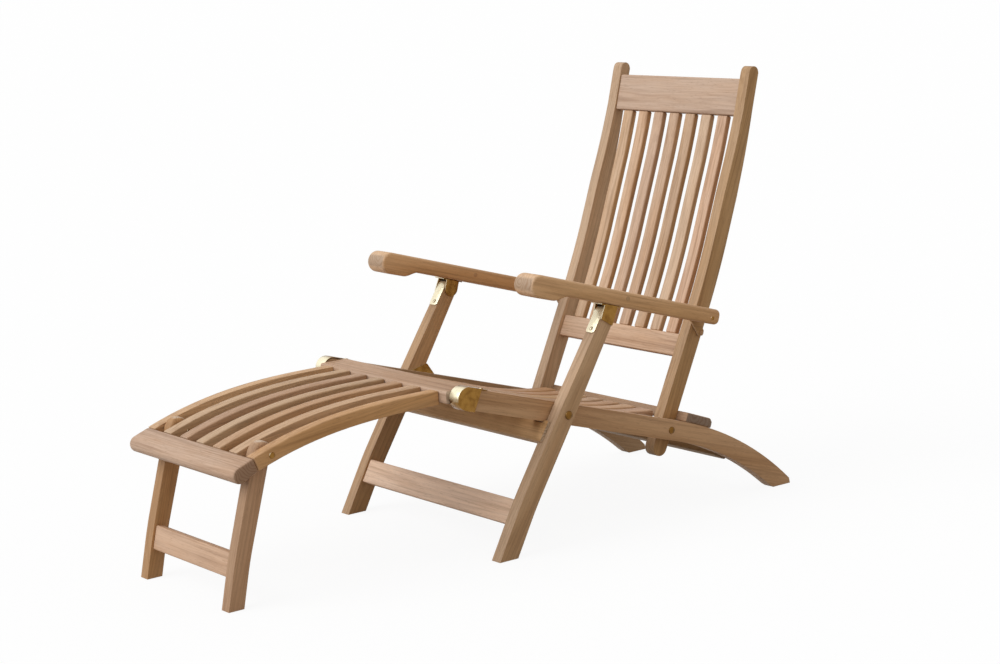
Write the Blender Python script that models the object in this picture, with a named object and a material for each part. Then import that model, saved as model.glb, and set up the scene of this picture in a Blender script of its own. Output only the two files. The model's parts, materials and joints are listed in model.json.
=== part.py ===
"""Folding deck chair with a slatted footrest, built from separate named pieces.

Frame: metres, +Z up, floor at z = 0, X across the chair (+X is the sitter's left), Y along it (the footrest points to
-Y, the backrest to +Y). Side profiles are drawn in millimetres in the (y, z) plane. Each stick is a centre line of
straight runs and arcs with a width, and its profile is extruded across the chair. Distances along a stick are measured
on that line. Angles are in degrees, from +Y towards +Z.
"""
import math

import bmesh
import bpy
from mathutils import Vector

MM = 0.001
GAP = 0.35             # between pieces that touch
BORE_PLAY = 0.45       # a bore's radius over its bolt's

# layers across the chair, from the outside in
LEG_OUT = 300.0
LEG_T = 29.0
PLATE_ROOM = 3.0       # leg to rail, for the wear plate
RAIL_T = 30.0
COLLAR_ROOM = 3.0      # rail to post, for the bolt's collar
POST_T = 28.5
ARM_OVERHANG = 3.5
ARM_W = 62.2
FOOT_INSET = 25.0      # footrest rail inside the seat rail
FOOT_RAIL_T = 28.0
FOOT_LEG_ROOM = 4.0
FOOT_LEG_T = 28.0
LEG_IN = LEG_OUT - LEG_T
RAIL_OUT = LEG_IN - PLATE_ROOM
RAIL_IN = RAIL_OUT - RAIL_T
POST_OUT = RAIL_IN - COLLAR_ROOM
POST_IN = POST_OUT - POST_T
ARM_OUT = LEG_OUT + ARM_OVERHANG
ARM_IN = ARM_OUT - ARM_W
FOOT_RAIL_OUT = RAIL_IN - FOOT_INSET
FOOT_RAIL_IN = FOOT_RAIL_OUT - FOOT_RAIL_T
FOOT_LEG_OUT = FOOT_RAIL_IN - FOOT_LEG_ROOM
FOOT_LEG_IN = FOOT_LEG_OUT - FOOT_LEG_T

# slats: counts, widths, and the room left beside the outermost one
SLAT_COUNT = 7
BACK_SLAT_W = 32.0
BACK_SLAT_MARGIN = 27.5
SEAT_SLAT_W = 43.0
SEAT_SLAT_MARGIN = 44.0
FOOT_SLAT_COUNT = 5
FOOT_SLAT_W = 30.0
FOOT_SLAT_MARGIN = 5.4
BACK_SLAT_PITCH = 2 * (POST_IN - BACK_SLAT_MARGIN - BACK_SLAT_W / 2) / (SLAT_COUNT - 1)
SEAT_SLAT_PITCH = 2 * (RAIL_IN - SEAT_SLAT_MARGIN - SEAT_SLAT_W / 2) / (SLAT_COUNT - 1)
FOOT_SLAT_PITCH = 2 * (FOOT_LEG_IN - FOOT_SLAT_MARGIN - FOOT_SLAT_W / 2) / (FOOT_SLAT_COUNT - 1)

# seat rail: a straight stick with a round nose and a rear foot swept down on one arc
NOSE = (293.0, 343.5)
RAIL_TILT = -16.9
RAIL_H = 44.0
RAIL_STRAIGHT = 575.0
REAR_FOOT_R = 720.0
TOE_H = 12.0
TOE_L = 2.0
HEEL_H = 7.0
HEEL_L = 10.0

# the folding linkage is an exact parallelogram
NOSE_TO_LEG = 239.0
NOSE_TO_BACK = 553.0
LINK_L = 226.0
LINK_TILT = 58.0

# front leg, hung from the arm pivot, with its foot swept to the rear
LEG_TILT = 57.0
LEG_FOOT_TILT = 61.0
LEG_STRAIGHT = 430.0
LEG_FOOT_L = 180.0
LEG_BEND_R = 1000.0
LEG_W = 41.0
LEG_TOP_W = 32.0

# backrest post: three straight runs with long bends, measured from its lower end
HEEL_FROM_PIVOT = (-7.0, -42.6)
POST_RUNS = ((399.0, 64.2), (298.0, 69.8), (150.0, 74.5))
POST_BEND_R = 2000.0
POST_W = 37.0
POST_TOP_W = 26.0
POST_TAPER_FROM = 574.0
POST_TAPER_TO = 764.0
BACK_FORWARD = 0.5     # slats and lower rail stand this far in front of the post's line
LOWER_RAIL_AT = 203.0
LOWER_RAIL_H = 49.0
LOWER_RAIL_T = 22.0
TOP_RAIL_AT = 748.0
TOP_RAIL_H = 82.0
TOP_RAIL_T = 21.0
BACK_SLAT_T = 14.0

# arm, drawn along and square to the seat rail's direction from the arm pivot
ARM_ABOVE_PIVOT = 21.5
ARM_T = 33.0
ARM_REAR = 304.0
ARM_END_R = 12.0
SCROLL_FRONT = 216.0
SCROLL_DROP = 14.0
SCROLL_L = 64.0
SCROLL_RISE_L = 40.0

# seat slats, dished at the back
SEAT_FROM_NOSE = (45.0, 7.5)
SEAT_RUNS = ((416.0, -18.0), (102.0, -4.0))
SEAT_DISH_R = 800.0
SEAT_T = 17.0
BATTEN_T = 21.0
FRONT_BATTEN_AT = 7.0
REAR_BATTEN_AT = 370.0
BATTEN_W = 42.0

# cross pieces of the seat
STOP_H = 21.0
STOP_W = 72.0
REAR_STRETCHER_FROM_BACK = (163.0, -84.5)
REAR_STRETCHER_TILT = -27.8
REAR_STRETCHER_W = 40.0
REAR_STRETCHER_T = 21.5

# stretchers of the front legs, down the leg from the rail pivot and in front of it
UPPER_STRETCHER_DOWN = 52.0
UPPER_STRETCHER_W = 36.0
UPPER_STRETCHER_FORWARD = 11.5
UPPER_STRETCHER_T = 16.5
LOWER_STRETCHER_DOWN = 454.0
LOWER_STRETCHER_W = 53.0
LOWER_STRETCHER_FORWARD = 7.0
LOWER_STRETCHER_T = 20.0

# footrest: its rails and slats fall away from a crest towards the foot end
FOOT_CREST = (230.0, 343.5)
FOOT_SPAN = 402.0
FOOT_DROP = 56.0
FOOT_CURVE = 2.6
FOOT_T = 30.0
FOOT_BOARD_L = 38.0
FOOT_BOARD_T = 34.0
HINGE_BAR_FRONT = 31.0
HINGE_BAR_REAR = 37.0
HINGE_BAR_TOP = 16.5
HINGE_BAR_LOW = 10.5
HINGE_BAR_R = 5.0
FOOT_PIVOT_FROM_FRONT = 36.0

# footrest leg: a round knob at the top and a slightly steeper foot
KNOB_FROM_PIVOT = (-0.5, 10.0)
FOOT_LEG_TILT = 73.2
FOOT_LEG_FOOT_TILT = 77.0
FOOT_LEG_STRAIGHT = 224.0
FOOT_LEG_FOOT_L = 130.0
FOOT_LEG_BEND_R = 1000.0
FOOT_LEG_W = 34.0
FOOT_LEG_TOP_W = 37.0
FOOT_STRETCHER_DOWN = 237.0
FOOT_STRETCHER_W = 50.0
FOOT_STRETCHER_T = 20.0
FOOT_STRETCHER_FORWARD = 2.5

# brass
BOLT_R = 4.0
LEG_BOLT_HEAD = (9.5, 4.5)
BACK_BOLT_HEAD = (8.0, 3.6)
ARM_BOLT_R = 3.0
ARM_BOLT_HEAD = (6.5, 3.0)
FOOT_PIN_R = 3.5
FOOT_PIN_HEAD = (6.5, 3.0)
HINGE_PIN_R = 5.0
BOLT_PAST = 2.0        # how far a bolt or pin runs on past the last piece
COLLAR_R = 11.0
PLATE_R = 30.0
PLATE_HUMP_R = 40.0
PLATE_TAIL_L = 60.0
PLATE_TAIL_RISE = 3.0
BRASS_T = 2.2
STRAP_T = 1.5
STRAP_L = 50.0
CAP_TOP_L = 50.0
CAP_LOW_L = 16.0
CHEEK_TOP_L = 30.0
CHEEK_LOW_L = 22.0
LUG_T = 2.5
LUG_R = 17.0
LUG_DROP = 16.5
BRACKET_L = 52.0
CLEAT_R = 10.0
CLEAT_W = 30.0

for old in list(bpy.data.objects):
    bpy.data.objects.remove(old, do_unlink=True)


def ray(angle):
    return (math.cos(math.radians(angle)), math.sin(math.radians(angle)))


def shifted(p, direction, distance):
    return (p[0] + direction[0] * distance, p[1] + direction[1] * distance)


def in_axes(origin, tilt, along, square):
    """A point given along a tilted direction and square to it (to its left)."""
    return shifted(shifted(origin, ray(tilt), along), ray(tilt + 90.0), square)


def arc(centre, radius, start, end, steps=10):
    """Points on a circle between two angles."""
    return [shifted(centre, ray(start + (end - start) * k / steps), radius) for k in range(steps + 1)]


def bowed(start, runs, radius, steps=6):
    """Centre line of straight runs (length, angle) whose corners are rounded: (y, z, angle) at each point."""
    line = [(*start, runs[0][1])]
    corner = start
    for (length, angle), (_, turned_to) in zip(runs, runs[1:]):
        corner = shifted(corner, ray(angle), length)
        left = 1.0 if turned_to > angle else -1.0
        tangent = radius * math.tan(math.radians(abs(turned_to - angle) / 2))
        centre = shifted(shifted(corner, ray(angle), -tangent), ray(angle + 90.0), left * radius)
        for k in range(steps + 1):
            at = angle + (turned_to - angle) * k / steps
            line.append((*shifted(centre, ray(at + 90.0), -left * radius), at))
    return line + [(*shifted(corner, ray(runs[-1][1]), runs[-1][0]), runs[-1][1])]


def distances(line):
    out = [0.0]
    for a, b in zip(line, line[1:]):
        out.append(out[-1] + math.hypot(b[0] - a[0], b[1] - a[1]))
    return out


def at_distance(line, s):
    """The point and angle at a distance along a line."""
    run = distances(line)
    for k in range(len(line) - 1):
        if s <= run[k + 1] or k == len(line) - 2:
            t = (s - run[k]) / (run[k + 1] - run[k])
            return tuple(line[k][i] + (line[k + 1][i] - line[k][i]) * t for i in range(3))


def stretch_of(line, s0, s1):
    """The part of a line between two distances."""
    inside = [p for p, s in zip(line, distances(line)) if s0 < s < s1]
    return [at_distance(line, s0)] + inside + [at_distance(line, s1)]


def beside(line, offset):
    """The line moved square to itself, to its left; offset may be a function of the distance."""
    shift = offset if callable(offset) else (lambda s: offset)
    return [shifted(p[:2], ray(p[2] + 90.0), shift(s)) for p, s in zip(line, distances(line))]


def band(line, thickness, centre=0.0):
    """Outline of a stick of even thickness about a line."""
    return beside(line, centre + thickness / 2) + beside(line, centre - thickness / 2)[::-1]


def taper(s0, s1, w0, w1):
    """Half a width that changes evenly between two distances."""
    return lambda s: (w0 + (w1 - w0) * min(max((s - s0) / (s1 - s0), 0.0), 1.0)) / 2


def cut_at_floor(points):
    """A falling side of a leg, ended on the floor."""
    out = []
    for a, b in zip(points, points[1:]):
        out.append(a)
        if b[1] < 0.0 <= a[1]:
            t = a[1] / (a[1] - b[1])
            return out + [(a[0] + (b[0] - a[0]) * t, 0.0)]
    return out + [points[-1]]


def block(centre, tilt, length, thickness):
    """Outline of a square-edged bar lying along a tilt."""
    return [in_axes(centre, tilt, a * length / 2, b * thickness / 2) for a, b in ((-1, -1), (1, -1), (1, 1), (-1, 1))]


# pivots
P1 = shifted(NOSE, ray(RAIL_TILT), NOSE_TO_LEG)
P4 = shifted(NOSE, ray(RAIL_TILT), NOSE_TO_BACK)
P2 = shifted(P1, ray(LINK_TILT), LINK_L)
P3 = shifted(P4, ray(LINK_TILT), LINK_L)


# seat rail
sweep_start = shifted(NOSE, ray(RAIL_TILT), RAIL_STRAIGHT)
sweep_centre = shifted(sweep_start, ray(RAIL_TILT + 90.0), -REAR_FOOT_R)
sweep_top_r = REAR_FOOT_R + RAIL_H / 2
sweep_low_r = REAR_FOOT_R - RAIL_H / 2


def sweep_angle(radius, height):
    """Angle about the sweep's centre where a circle comes down to a height."""
    return math.degrees(math.asin((height - sweep_centre[1]) / radius))


def rail_top(y):
    """Height of the rail's top edge, straight and then swept."""
    if y < shifted(sweep_start, ray(RAIL_TILT + 90.0), RAIL_H / 2)[0]:
        return NOSE[1] + RAIL_H / 2 / ray(RAIL_TILT)[0] + math.tan(math.radians(RAIL_TILT)) * (y - NOSE[0])
    return sweep_centre[1] + math.sqrt(sweep_top_r ** 2 - (y - sweep_centre[0]) ** 2)


sweep_from = RAIL_TILT + 90.0
toe = arc(sweep_centre, sweep_top_r, sweep_from, sweep_angle(sweep_top_r, TOE_H), 16)
heel = arc(sweep_centre, sweep_low_r, sweep_angle(sweep_low_r, HEEL_H), sweep_from, 16)
toe_y = toe[-1][0] + TOE_L
rail_outline = (arc(NOSE, RAIL_H / 2, RAIL_TILT - 90.0, RAIL_TILT - 270.0, 14) + toe
                + [(toe_y, 0.0), (heel[0][0] + HEEL_L, 0.0)] + heel)

# footrest curve
FOOT_FRONT = FOOT_CREST[0] - FOOT_SPAN


def foot_height(y):
    return FOOT_CREST[1] - FOOT_DROP * (max(FOOT_CREST[0] - y, 0.0) / FOOT_SPAN) ** FOOT_CURVE


def foot_slope(y):
    rise = FOOT_DROP * FOOT_CURVE / FOOT_SPAN * (max(FOOT_CREST[0] - y, 0.0) / FOOT_SPAN) ** (FOOT_CURVE - 1.0)
    return math.degrees(math.atan(rise))


foot_rear = NOSE[0] - HINGE_BAR_FRONT - GAP
FOOT_STEPS = 16
foot_line = [(y, foot_height(y), foot_slope(y))
             for y in [FOOT_FRONT + (foot_rear - FOOT_FRONT) * k / FOOT_STEPS for k in range(FOOT_STEPS + 1)]]
foot_outline = band(foot_line, FOOT_T)
P5 = (FOOT_FRONT + FOOT_PIVOT_FROM_FRONT, foot_height(FOOT_FRONT + FOOT_PIVOT_FROM_FRONT))

# foot-end board: goes on from the curve's front end and is rounded over
board_tilt = foot_line[0][2]
board_rear = in_axes(foot_line[0][:2], board_tilt, -GAP, 0.0)
board_front = shifted(board_rear, ray(board_tilt), -FOOT_BOARD_L)
board_low = -FOOT_T / 2
board_nose = in_axes(board_front, board_tilt, 0.0, FOOT_T / 2 - FOOT_BOARD_T / 2)
foot_board_outline = ([in_axes(board_rear, board_tilt, 0.0, board_low), in_axes(board_rear, board_tilt, 0.0, FOOT_T / 2)]
                      + arc(board_nose, FOOT_BOARD_T / 2, board_tilt + 90.0, board_tilt + 270.0, 12))

# front leg, rounded about the arm pivot
leg_line = bowed(P2, ((LEG_STRAIGHT, LEG_TILT + 180.0), (LEG_FOOT_L, LEG_FOOT_TILT + 180.0)), LEG_BEND_R)
leg_half = taper(0.0, LINK_L, LEG_TOP_W, LEG_W)
leg_points = [at_distance(leg_line, LINK_L)] + stretch_of(leg_line, LINK_L + 1.0, distances(leg_line)[-1])
leg_front = [shifted(p[:2], ray(p[2] + 90.0), -LEG_W / 2) for p in leg_points]
leg_rear = [shifted(p[:2], ray(p[2] + 90.0), LEG_W / 2) for p in leg_points]
leg_outline = (arc(P2, LEG_TOP_W / 2, LEG_TILT - 90.0, LEG_TILT + 90.0, 12) + cut_at_floor(leg_front)
               + cut_at_floor(leg_rear)[::-1])

# backrest post, with a round top and a round lower end
post_heel = (P4[0] + HEEL_FROM_PIVOT[0], P4[1] + HEEL_FROM_PIVOT[1])
post_line = bowed(post_heel, POST_RUNS, POST_BEND_R)
post_half = taper(POST_TAPER_FROM, POST_TAPER_TO, POST_W, POST_TOP_W)
post_cuts = [s for s in (POST_TAPER_FROM, POST_TAPER_TO) if s < distances(post_line)[-1]]
post_line = sorted(post_line + [at_distance(post_line, s) for s in post_cuts], key=lambda p: p[1])
post_end = post_line[-1]
post_outline = (beside(post_line, post_half)
                + arc(post_end[:2], POST_TOP_W / 2, post_end[2] + 90.0, post_end[2] - 90.0, 10)[1:-1]
                + beside(post_line, lambda s: -post_half(s))[::-1]
                + arc(post_heel, POST_W / 2, post_line[0][2] - 90.0, post_line[0][2] - 270.0, 10)[1:-1])

# backrest rails and slats, along the post's line
lower_rail_outline = band(stretch_of(post_line, LOWER_RAIL_AT, LOWER_RAIL_AT + LOWER_RAIL_H), LOWER_RAIL_T, BACK_FORWARD)
top_rail_outline = band(stretch_of(post_line, TOP_RAIL_AT, TOP_RAIL_AT + TOP_RAIL_H), TOP_RAIL_T)
back_slat_outline = band(stretch_of(post_line, LOWER_RAIL_AT + LOWER_RAIL_H + GAP, TOP_RAIL_AT - GAP), BACK_SLAT_T,
                         BACK_FORWARD)

# seat slat
seat_front = (NOSE[0] + SEAT_FROM_NOSE[0], NOSE[1] + SEAT_FROM_NOSE[1])
seat_line = bowed(seat_front, SEAT_RUNS, SEAT_DISH_R)
seat_outline = band(seat_line, SEAT_T, -SEAT_T / 2)


def under_seat(s):
    """Outline of a batten that starts at a distance along the slats and lies under them."""
    line = stretch_of(seat_line, s, s + BATTEN_W)
    return beside(line, -SEAT_T - GAP) + beside(line, -SEAT_T - BATTEN_T)[::-1]


# arm, in directions along and square to the rail
def on_arm(a, b):
    return in_axes(P2, RAIL_TILT, a, b)


arm_low = ARM_ABOVE_PIVOT - SCROLL_DROP
arm_top = ARM_ABOVE_PIVOT + ARM_T
scroll_r = (arm_top - arm_low) / 2
rise_end = -SCROLL_FRONT + SCROLL_L + SCROLL_RISE_L
RISE_STEPS = 8
scroll_rise = [(rise_end - SCROLL_RISE_L * k / RISE_STEPS,
                ARM_ABOVE_PIVOT - SCROLL_DROP * (1 - math.cos(math.pi * k / RISE_STEPS)) / 2)
               for k in range(RISE_STEPS + 1)]
arm_outline = [on_arm(a, b) for a, b in (
    arc((ARM_REAR - ARM_END_R, arm_top - ARM_END_R), ARM_END_R, 90.0, 0.0, 6)
    + arc((ARM_REAR - ARM_END_R, ARM_ABOVE_PIVOT + ARM_END_R), ARM_END_R, 0.0, -90.0, 6)
    + scroll_rise + arc((-SCROLL_FRONT + scroll_r, arm_low + scroll_r), scroll_r, 270.0, 90.0, 14))]

# footrest leg, from its knob down
knob = (P5[0] + KNOB_FROM_PIVOT[0], P5[1] + KNOB_FROM_PIVOT[1])
foot_leg_line = bowed(knob, ((FOOT_LEG_STRAIGHT, FOOT_LEG_TILT + 180.0), (FOOT_LEG_FOOT_L, FOOT_LEG_FOOT_TILT + 180.0)),
                      FOOT_LEG_BEND_R)
foot_leg_half = taper(0.0, FOOT_LEG_STRAIGHT, FOOT_LEG_TOP_W, FOOT_LEG_W)
foot_leg_outline = (arc(knob, FOOT_LEG_TOP_W / 2, FOOT_LEG_TILT - 90.0, FOOT_LEG_TILT + 90.0, 12)
                    + cut_at_floor(beside(foot_leg_line, lambda s: -foot_leg_half(s)))[1:]
                    + cut_at_floor(beside(foot_leg_line, foot_leg_half))[:0:-1])

# the chair stands with the middle of its length at Y = 0
Y_MID = (min(p[0] for p in foot_board_outline + foot_leg_outline) + toe_y) / 2


def make_material(name, colour, roughness, metallic):
    mat = bpy.data.materials.new(name)
    mat.use_nodes = True
    shader = mat.node_tree.nodes['Principled BSDF']
    shader.inputs['Base Color'].default_value = (*colour, 1.0)
    shader.inputs['Roughness'].default_value = roughness
    shader.inputs['Metallic'].default_value = metallic
    mat.diffuse_color = (*colour, 1.0)
    return mat


TEAK = make_material('teak', (0.45, 0.29, 0.17), 0.6, 0.0)
BRASS = make_material('brass', (0.78, 0.58, 0.24), 0.25, 1.0)
BRASS_NODES = ('rail_cap', 'leg_bolt', 'leg_plate', 'back_bolt', 'leg_strap', 'arm_bracket', 'arm_bolt', 'foot_pin')


def world(x, p):
    return Vector((x * MM, (p[0] - Y_MID) * MM, p[1] * MM))


def link_object(name, bm):
    bmesh.ops.remove_doubles(bm, verts=bm.verts, dist=1e-6)
    bmesh.ops.recalc_face_normals(bm, faces=bm.faces)
    mesh = bpy.data.meshes.new(name)
    bm.to_mesh(mesh)
    bm.free()
    ob = bpy.data.objects.new(name, mesh)
    bpy.context.scene.collection.objects.link(ob)
    return ob


def prism(name, outline, x0, x1):
    """Extrude a side profile across the chair from x0 to x1."""
    bm = bmesh.new()
    face = bm.faces.new([bm.verts.new(world(x0, p)) for p in outline])
    grown = bmesh.ops.extrude_face_region(bm, geom=[face], use_keep_orig=True)
    side = [v for v in grown['geom'] if isinstance(v, bmesh.types.BMVert)]
    bmesh.ops.translate(bm, verts=side, vec=((x1 - x0) * MM, 0.0, 0.0))
    return link_object(name, bm)


def turned(name, centre, profile, sides=20):
    """Solid of revolution about an axis along X; profile is (x, radius)."""
    bm = bmesh.new()
    rings = []
    for x, r in profile:
        count = sides if r > 0.0 else 1
        rings.append([bm.verts.new(world(x, shifted(centre, ray(360.0 * k / sides), r))) for k in range(count)])
    for r0, r1 in zip(rings, rings[1:]):
        for k in range(sides):
            j = (k + 1) % sides
            corners = (r0[k % len(r0)], r1[k % len(r1)], r1[j % len(r1)], r0[j % len(r0)])
            bm.faces.new(list(dict.fromkeys(corners)))
    return link_object(name, bm)


def cut(ob, cutter, mode='DIFFERENCE'):
    mod = ob.modifiers.new(mode.lower(), 'BOOLEAN')
    mod.operation = mode
    mod.solver = 'EXACT'
    mod.object = cutter
    bpy.context.view_layer.update()
    graph = bpy.context.evaluated_depsgraph_get()
    mesh = bpy.data.meshes.new_from_object(ob.evaluated_get(graph))
    ob.modifiers.clear()
    ob.data = mesh
    bpy.data.objects.remove(cutter, do_unlink=True)
    return ob


def rod(name, centre, radius, x0, x1):
    return turned(name, centre, [(x0, 0.0), (x0, radius), (x1, radius), (x1, 0.0)])


def bore(ob, centre, bolt_radius, x0, x1):
    """A through hole for a bolt, in a piece that spans x0 to x1."""
    lo, hi = min(x0, x1) - BOLT_PAST, max(x0, x1) + BOLT_PAST
    return cut(ob, rod('bore_tool', centre, bolt_radius + BORE_PLAY, lo, hi))


def bolt(name, centre, s, x_in, x_face, radius, head, collar=None):
    """Bolt with a domed head on x_face; a collar is (x_in, x_out, radius)."""
    head_r, head_h = head
    face = x_face + GAP
    profile = [(x_in, 0.0), (x_in, radius)]
    if collar:
        profile += [(collar[0], radius), (collar[0], collar[2]), (collar[1], collar[2]), (collar[1], radius)]
    profile += [(face, radius), (face, head_r), (face + head_h * 0.45, head_r * 0.93), (face + head_h * 0.8, head_r * 0.66),
                (face + head_h, 0.0)]
    return turned(name, centre, [(s * x, r) for x, r in profile])


def nose_strap(offset, top_length, low_length):
    """Line round the rail's nose at an offset from the wood, from the top edge to the lower edge."""
    reach = RAIL_H / 2 + offset
    return ([in_axes(NOSE, RAIL_TILT, top_length, reach)] + arc(NOSE, reach, RAIL_TILT + 90.0, RAIL_TILT + 270.0, 14)
            + [in_axes(NOSE, RAIL_TILT, low_length, -reach)])


def leg_top_strap(offset):
    """Line up the leg's tapered front edge and over its round top, at an offset from the wood."""
    foot = at_distance(leg_line, STRAP_L)
    edge = shifted(foot[:2], ray(foot[2] + 90.0), -(leg_half(STRAP_L) + offset))
    return [edge] + arc(P2, LEG_TOP_W / 2 + offset, LEG_TILT + 89.0, LEG_TILT - 36.0, 10)


for s, side in ((1, 'left'), (-1, 'right')):
    rail = prism('seat_rail_' + side, rail_outline, s * RAIL_IN, s * RAIL_OUT)
    bore(rail, P1, BOLT_R, s * RAIL_IN, s * RAIL_OUT)
    bore(rail, P4, BOLT_R, s * RAIL_IN, s * RAIL_OUT)
    bore(rail, NOSE, HINGE_PIN_R, s * RAIL_IN, s * RAIL_OUT)

    leg = prism('front_leg_' + side, leg_outline, s * LEG_IN, s * LEG_OUT)
    bore(leg, P1, BOLT_R, s * LEG_IN, s * LEG_OUT)
    bore(leg, P2, ARM_BOLT_R, s * LEG_IN, s * LEG_OUT)

    post = prism('back_post_' + side, post_outline, s * POST_IN, s * POST_OUT)
    bore(post, P4, BOLT_R, s * POST_IN, s * POST_OUT)
    bore(post, P3, ARM_BOLT_R, s * POST_IN, s * POST_OUT)

    prism('arm_' + side, arm_outline, s * ARM_IN, s * ARM_OUT)

    # brass cap on the rail's nose: a strap round the end, an outer cheek, and the footrest's hinge pin
    outer = RAIL_OUT + GAP + BRASS_T
    strap = nose_strap(GAP + BRASS_T, CAP_TOP_L, CAP_LOW_L) + nose_strap(GAP, CAP_TOP_L, CAP_LOW_L)[::-1]
    cap = prism('rail_cap_' + side, strap, s * (RAIL_IN + GAP), s * outer)
    cut(cap, prism('cheek_tool', nose_strap(GAP + BRASS_T, CHEEK_TOP_L, CHEEK_LOW_L), s * (RAIL_OUT + GAP), s * outer),
        'UNION')
    pin_in = RAIL_IN - RAIL_T / 2
    cut(cap, rod('pin_tool', NOSE, HINGE_PIN_R, s * pin_in, s * (RAIL_OUT + GAP + BRASS_T / 2)), 'UNION')

    # leg pivot: bolt, and a wear plate with a hump that shows above the rail
    bolt('leg_bolt_' + side, P1, s, RAIL_IN - BOLT_PAST, LEG_OUT, BOLT_R, LEG_BOLT_HEAD)
    plate_outline = (arc(P1, PLATE_HUMP_R, 60.0, 150.0, 12) + arc(P1, PLATE_R, 150.0, RAIL_TILT + 360.0, 18)
                     + [in_axes(P1, RAIL_TILT, PLATE_TAIL_L, RAIL_H / 2 - PLATE_TAIL_RISE),
                        in_axes(P1, RAIL_TILT, PLATE_TAIL_L, RAIL_H / 2 + PLATE_TAIL_RISE)])
    plate = prism('leg_plate_' + side, plate_outline, s * (RAIL_OUT + GAP), s * (LEG_IN - GAP))
    bore(plate, P1, BOLT_R, s * RAIL_OUT, s * LEG_IN)

    bolt('back_bolt_' + side, P4, s, POST_IN - BOLT_PAST, RAIL_OUT, BOLT_R, BACK_BOLT_HEAD,
         (POST_OUT + GAP, RAIL_IN - GAP, COLLAR_R))

    prism('leg_strap_' + side, leg_top_strap(GAP + STRAP_T) + leg_top_strap(GAP)[::-1], s * LEG_IN, s * LEG_OUT)

    # arm bracket: base under the arm, a cheek and a lug beside the leg and the pin between them
    lug_in, lug_out = LEG_IN - GAP - LUG_T, LEG_OUT + GAP + LUG_T
    base_top = ARM_ABOVE_PIVOT - GAP
    half = BRACKET_L / 2
    base_outline = [on_arm(a, b) for a, b in ((-half, base_top - BRASS_T), (half, base_top - BRASS_T), (half, base_top),
                                              (-half, base_top))]
    bracket = prism('arm_bracket_' + side, base_outline, s * lug_in, s * lug_out)
    lug_outline = [on_arm(a, b) for a, b in ([(-LUG_R, base_top - BRASS_T / 2)] + arc((0.0, 0.0), LUG_R, 180.0, 360.0, 12)
                                             + [(LUG_R, base_top - BRASS_T / 2)])]
    cheek_outline = [on_arm(-LUG_R, base_top - BRASS_T / 2), in_axes(P2, LEG_TILT, -LUG_DROP, LUG_R),
                     in_axes(P2, LEG_TILT, -LUG_DROP, -LUG_R), on_arm(LUG_R, base_top - BRASS_T / 2)]
    for outline, x0, x1 in ((cheek_outline, LEG_OUT + GAP, lug_out), (lug_outline, lug_in, LEG_IN - GAP)):
        cut(bracket, prism('lug_tool', outline, s * x0, s * x1), 'UNION')
    cut(bracket, rod('pin_tool', P2, ARM_BOLT_R, s * (lug_in + LUG_T / 2), s * (lug_out - LUG_T / 2)), 'UNION')

    # wooden cleat on the arm's inner side, carried down to the post's pivot, with its bolt
    cleat_at = NOSE_TO_BACK - NOSE_TO_LEG
    cleat_top = ARM_ABOVE_PIVOT + ARM_T / 2
    cleat_outline = ([on_arm(ARM_REAR - ARM_END_R - CLEAT_W, cleat_top)]
                     + [on_arm(cleat_at + a, b) for a, b in arc((0.0, 0.0), CLEAT_R, 200.0, 360.0, 10)]
                     + [on_arm(ARM_REAR - ARM_END_R / 2, cleat_top)])
    cleat = prism('arm_plate_' + side, cleat_outline, s * (POST_OUT + GAP), s * (ARM_IN - GAP))
    bore(cleat, P3, ARM_BOLT_R, s * POST_OUT, s * ARM_IN)
    bolt('arm_bolt_' + side, P3, s, POST_IN + BOLT_PAST, ARM_IN - GAP, ARM_BOLT_R, ARM_BOLT_HEAD)

    foot_rail = prism('foot_rail_' + side, foot_outline, s * FOOT_RAIL_IN, s * FOOT_RAIL_OUT)
    bore(foot_rail, P5, FOOT_PIN_R, s * FOOT_RAIL_IN, s * FOOT_RAIL_OUT)
    foot_leg = prism('foot_leg_' + side, foot_leg_outline, s * FOOT_LEG_IN, s * FOOT_LEG_OUT)
    bore(foot_leg, P5, FOOT_PIN_R, s * FOOT_LEG_IN, s * FOOT_LEG_OUT)
    pin_end = FOOT_SLAT_PITCH * (FOOT_SLAT_COUNT - 1) / 2 - FOOT_SLAT_W / 2 - BOLT_PAST
    bolt('foot_pin_' + side, P5, s, pin_end, FOOT_RAIL_OUT, FOOT_PIN_R, FOOT_PIN_HEAD)


def across(name, outline, half_width):
    """A piece that reaches across the chair."""
    return prism(name, outline, -half_width, half_width)


def slats(name, outline, count, width, pitch):
    """A row of slats across the chair: (object, middle) for each."""
    made = []
    for i in range(count):
        middle = (i - (count - 1) / 2) * pitch
        made.append((prism('%s_%d' % (name, i + 1), outline, middle - width / 2, middle + width / 2), middle))
    return made


# seat
across('front_batten', under_seat(FRONT_BATTEN_AT), RAIL_IN - GAP)
across('rear_batten', under_seat(REAR_BATTEN_AT), RAIL_IN - GAP)
slats('seat_slat', seat_outline, SLAT_COUNT, SEAT_SLAT_W, SEAT_SLAT_PITCH)

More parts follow.
